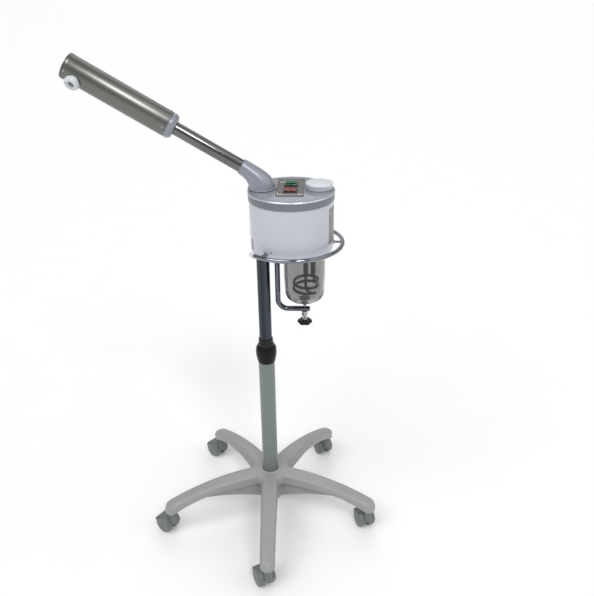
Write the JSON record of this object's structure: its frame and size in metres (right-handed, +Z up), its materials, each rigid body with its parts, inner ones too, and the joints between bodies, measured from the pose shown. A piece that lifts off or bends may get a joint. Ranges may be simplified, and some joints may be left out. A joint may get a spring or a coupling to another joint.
{
  "type": "facial steamer",
  "caption": "Free-standing salon facial steamer: star base on twin-wheel castors, telescopic column, boiler head with glass jar, ring handle and a slanting steam arm with a nozzle.",
  "frame": {"origin": "on the floor, under the middle of the object's bounding box at rest", "axes": "+Z up; +X from the nozzle's side towards the boiler's side, with the head turned 5.5 degrees towards -Y; -Y towards the red switch"},
  "size_m": [0.7071, 0.5965, 1.2622],
  "materials": {
    "base_plastic": "fine satin moulded grain",
    "castor_plastic": "satin moulded",
    "wheel_tread": "satin moulded tread",
    "stem_steel": "bright turned",
    "column_paint": "satin paint",
    "collet_plastic": "glossy",
    "collar_plastic": "satin gloss",
    "mast_chrome": "polished",
    "handle_chrome": "polished",
    "cast_metal": "as cast, painted",
    "housing_plastic": "semi-gloss moulded",
    "cover_plastic": "satin metallic",
    "black_plastic": "satin",
    "seat_steel": "brushed",
    "silicone": "matt",
    "element_steel": "polished tube",
    "panel_plastic": "satin printed",
    "green_lens": "translucent gloss",
    "red_lens": "translucent gloss",
    "cap_plastic": "gloss moulded",
    "jar_glass": "clear",
    "pad_rubber": "matt",
    "barrel_steel": "brushed round",
    "lamp_glass": "clear quartz"
  },
  "bodies": {
    "base": {"star_base": "base_plastic", "lower_column": "column_paint", "column_collet": "collet_plastic", "castor_1_stem": "stem_steel", "castor_2_stem": "stem_steel", "castor_3_stem": "stem_steel", "castor_4_stem": "stem_steel", "castor_5_stem": "stem_steel"},
    "castor_1_fork": {"castor_1_hood": "castor_plastic", "castor_1_axle": "stem_steel"},
    "castor_1_left": {"castor_1_wheel_left": "wheel_tread"},
    "castor_1_right": {"castor_1_wheel_right": "wheel_tread"},
    "castor_2_fork": {"castor_2_hood": "castor_plastic", "castor_2_axle": "stem_steel"},
    "castor_2_left": {"castor_2_wheel_left": "wheel_tread"},
    "castor_2_right": {"castor_2_wheel_right": "wheel_tread"},
    "castor_3_fork": {"castor_3_hood": "castor_plastic", "castor_3_axle": "stem_steel"},
    "castor_3_left": {"castor_3_wheel_left": "wheel_tread"},
    "castor_3_right": {"castor_3_wheel_right": "wheel_tread"},
    "castor_4_fork": {"castor_4_hood": "castor_plastic", "castor_4_axle": "stem_steel"},
    "castor_4_left": {"castor_4_wheel_left": "wheel_tread"},
    "castor_4_right": {"castor_4_wheel_right": "wheel_tread"},
    "castor_5_fork": {"castor_5_hood": "castor_plastic", "castor_5_axle": "stem_steel"},
    "castor_5_left": {"castor_5_wheel_left": "wheel_tread"},
    "castor_5_right": {"castor_5_wheel_right": "wheel_tread"},
    "lock": {"height_lock_collar": "collar_plastic"},
    "mast": {"upper_column": "mast_chrome"},
    "head": {"head_socket": "cast_metal", "base_plate": "housing_plastic", "housing_shell": "housing_plastic", "top_cover": "cover_plastic", "arm_elbow": "cover_plastic", "ring_handle": "handle_chrome", "power_inlet": "black_plastic", "jar_seat": "seat_steel", "jar_gasket": "silicone", "heater_element": "element_steel", "steam_hose": "silicone", "filler_neck": "housing_plastic", "filler_hose": "silicone", "control_panel": "panel_plastic", "green_switch_frame": "black_plastic", "red_switch_frame": "black_plastic"},
    "green_button": {"green_rocker": "green_lens"},
    "red_button": {"red_rocker": "red_lens"},
    "cap": {"filler_cap": "cap_plastic"},
    "jar": {"glass_jar": "jar_glass"},
    "bracket": {"jar_bracket_rod": "handle_chrome"},
    "pad": {"clamp_pad": "pad_rubber"},
    "clamp_screw": {"clamp_spindle": "stem_steel", "clamp_knob": "collar_plastic"},
    "arm": {"arm_tube": "mast_chrome", "barrel_collar": "cover_plastic", "barrel_shell": "barrel_steel", "barrel_end_cap": "barrel_steel", "ozone_lamp": "lamp_glass"},
    "nozzle": {"steam_nozzle": "cap_plastic"}
  },
  "joints": [
    {"name": "castor_1_swivel", "type": "hinge", "parent": "base", "child": "castor_1_fork", "pos_m": [0.0489, -0.2796, 0.0722], "axis": [0, 0, 1], "continuous": true},
    {"name": "castor_1_left_spin", "type": "hinge", "parent": "castor_1_fork", "child": "castor_1_left", "pos_m": [0.03914, -0.25767, 0.02469], "axis": [-0.9135, -0.4067, 0], "continuous": true},
    {"name": "castor_1_right_spin", "type": "hinge", "parent": "castor_1_fork", "child": "castor_1_right", "pos_m": [0.03914, -0.25767, 0.02469], "axis": [-0.9135, -0.4067, 0], "continuous": true},
    {"name": "castor_2_swivel", "type": "hinge", "parent": "base", "child": "castor_2_fork", "pos_m": [0.33115, -0.09909, 0.0722], "axis": [0, 0, 1], "continuous": true},
    {"name": "castor_2_left_spin", "type": "hinge", "parent": "castor_2_fork", "child": "castor_2_left", "pos_m": [0.32534, -0.0758, 0.02469], "axis": [-0.9703, -0.2419, 0], "continuous": true},
    {"name": "castor_2_right_spin", "type": "hinge", "parent": "castor_2_fork", "child": "castor_2_right", "pos_m": [0.32534, -0.0758, 0.02469], "axis": [-0.9703, -0.2419, 0], "continuous": true},
    {"name": "castor_3_swivel", "type": "hinge", "parent": "base", "child": "castor_3_fork", "pos_m": [0.2467, 0.22513, 0.0722], "axis": [0, 0, 1], "continuous": true},
    {"name": "castor_3_left_spin", "type": "hinge", "parent": "castor_3_fork", "child": "castor_3_left", "pos_m": [0.23771, 0.24738, 0.02469], "axis": [-0.9272, -0.3746, 0], "continuous": true},
    {"name": "castor_3_right_spin", "type": "hinge", "parent": "castor_3_fork", "child": "castor_3_right", "pos_m": [0.23771, 0.24738, 0.02469], "axis": [-0.9272, -0.3746, 0], "continuous": true},
    {"name": "castor_4_swivel", "type": "hinge", "parent": "base", "child": "castor_4_fork", "pos_m": [-0.08775, 0.245, 0.0722], "axis": [0, 0, 1], "continuous": true},
    {"name": "castor_4_left_spin", "type": "hinge", "parent": "castor_4_fork", "child": "castor_4_left", "pos_m": [-0.10381, 0.26283, 0.02469], "axis": [-0.7431, -0.6691, 0], "continuous": true},
    {"name": "castor_4_right_spin", "type": "hinge", "parent": "castor_4_fork", "child": "castor_4_right", "pos_m": [-0.10381, 0.26283, 0.02469], "axis": [-0.7431, -0.6691, 0], "continuous": true},
    {"name": "castor_5_swivel", "type": "hinge", "parent": "base", "child": "castor_5_fork", "pos_m": [-0.21, -0.06694, 0.0722], "axis": [0, 0, 1], "continuous": true},
    {"name": "castor_5_left_spin", "type": "hinge", "parent": "castor_5_fork", "child": "castor_5_left", "pos_m": [-0.22838, -0.05151, 0.02469], "axis": [-0.6428, -0.766, 0], "continuous": true},
    {"name": "castor_5_right_spin", "type": "hinge", "parent": "castor_5_fork", "child": "castor_5_right", "pos_m": [-0.22838, -0.05151, 0.02469], "axis": [-0.6428, -0.766, 0], "continuous": true},
    {"name": "lock_turn", "type": "hinge", "parent": "base", "child": "lock", "pos_m": [0.0658, 0.0049, 0.525], "axis": [0, 0, 1], "range_deg": [0, 120]},
    {"name": "column_lift", "type": "slide", "parent": "base", "child": "mast", "axis": [0, 0, 1], "range_m": [-0.2, 0.1]},
    {"name": "head_swivel", "type": "hinge", "parent": "mast", "child": "head", "pos_m": [0.0658, 0.0049, 0.85], "axis": [0, 0, 1], "continuous": true},
    {"name": "green_press", "type": "hinge", "parent": "head", "child": "green_button", "pos_m": [0.1373, 0.0171, 0.9696], "axis": [-0.9954, 0.0958, 0], "range_deg": [0, 14]},
    {"name": "red_press", "type": "hinge", "parent": "head", "child": "red_button", "pos_m": [0.13308, -0.02669, 0.9696], "axis": [-0.9954, 0.0958, 0], "range_deg": [0, 14]},
    {"name": "cap_lift", "type": "slide", "parent": "head", "child": "cap", "axis": [0, 0, 1], "range_m": [0, 0.03]},
    {"name": "jar_drop", "type": "slide", "parent": "head", "child": "jar", "axis": [0, 0, 1], "range_m": [-0.0031, 0]},
    {"name": "bracket_swing", "type": "hinge", "parent": "head", "child": "bracket", "pos_m": [0.09964, 0.00164, 0.76], "axis": [0, 0, 1], "range_deg": [-95, 95]},
    {"name": "pad_travel", "type": "slide", "parent": "bracket", "child": "pad", "axis": [0, 0, 1], "range_m": [-0.003, 0]},
    {"name": "clamp_turn", "type": "hinge", "parent": "pad", "child": "clamp_screw", "pos_m": [0.16534, -0.00468, 0.64], "axis": [0, 0, 1], "range_deg": [0, 725]},
    {"name": "arm_twist", "type": "hinge", "parent": "head", "child": "arm", "pos_m": [0.02539, 0.00879, 1.0179], "axis": [-0.8532, 0.0822, 0.515], "range_deg": [-90, 90]},
    {"name": "nozzle_spin", "type": "hinge", "parent": "arm", "child": "nozzle", "pos_m": [-0.32467, 0.0137, 1.20413], "axis": [-0.3726, -0.7871, -0.4917], "continuous": true}
  ],
  "couplings": [
    {"joint": "clamp_turn", "follows": "pad_travel", "rad_per_m": -4188.8},
    {"joint": "jar_drop", "follows": "pad_travel", "ratio": 1}
  ]
}
